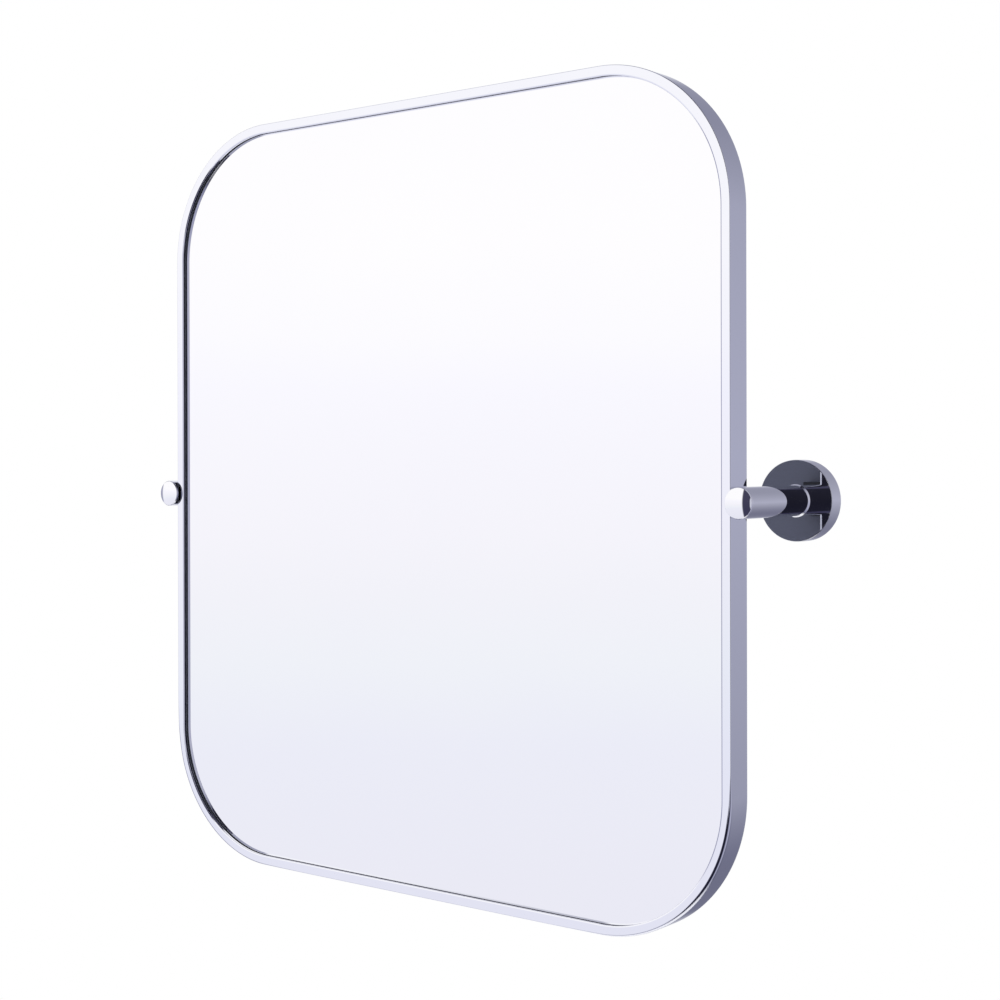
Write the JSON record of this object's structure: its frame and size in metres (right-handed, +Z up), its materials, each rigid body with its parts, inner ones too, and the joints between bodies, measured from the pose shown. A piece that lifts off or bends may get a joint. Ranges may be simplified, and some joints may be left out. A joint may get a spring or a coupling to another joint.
{
  "type": "pivot wall mirror",
  "caption": "Rounded-rectangle wall mirror in a chrome channel frame that tilts about a level axis between two round wall posts.",
  "frame": {"origin": "on the wall plane, midway between the two wall brackets and level with the pivot axis", "axes": "+X to the viewer's right across the mirror, +Y into the wall, +Z up; the mirror faces -Y"},
  "size_m": [0.611, 0.0905, 0.6],
  "materials": {
    "polished_steel": "polished",
    "mirror_glass": "polished",
    "glazing_foam": "matte",
    "white_foam": "matte",
    "painted_board": "painted matte",
    "zinc_plated_steel": "zinc plated",
    "steel": "turned",
    "spring_steel": "satin",
    "black_steel": "black oxide",
    "chromed_brass": "polished",
    "nylon": "matte",
    "zinc_alloy": "die cast"
  },
  "bodies": {
    "wall_mounts": {"left_pivot_bush": "nylon", "right_pivot_bush": "nylon", "left_friction_plug": "nylon", "right_friction_plug": "nylon", "left_disc_springs": "spring_steel", "right_disc_springs": "spring_steel", "left_tension_screw": "black_steel", "right_tension_screw": "black_steel", "left_end_cap": "chromed_brass", "right_end_cap": "chromed_brass", "left_post": "chromed_brass", "right_post": "chromed_brass", "left_wall_flange": "chromed_brass", "right_wall_flange": "chromed_brass", "left_post_screw": "black_steel", "right_post_screw": "black_steel", "left_post_washer": "zinc_plated_steel", "right_post_washer": "zinc_plated_steel", "left_wall_bracket": "zinc_alloy", "right_wall_bracket": "zinc_alloy", "left_grub_screw": "black_steel", "right_grub_screw": "black_steel"},
    "mirror": {"frame": "polished_steel", "mirror_glass": "mirror_glass", "glazing_tape": "glazing_foam", "foam_sheet": "white_foam", "backing_board": "painted_board", "retaining_clips": "zinc_plated_steel", "clip_screws": "zinc_plated_steel", "left_pivot_boss": "black_steel", "right_pivot_boss": "black_steel", "left_pivot_pin": "steel", "right_pivot_pin": "steel", "left_pin_nut": "zinc_plated_steel", "right_pin_nut": "zinc_plated_steel", "left_thrust_washer": "nylon", "right_thrust_washer": "nylon"}
  },
  "joints": [
    {"name": "mirror_tilt", "type": "hinge", "parent": "wall_mounts", "child": "mirror", "pos_m": [0, -0.07, 0], "axis": [1, 0, 0], "range_deg": [-10, 10]}
  ]
}
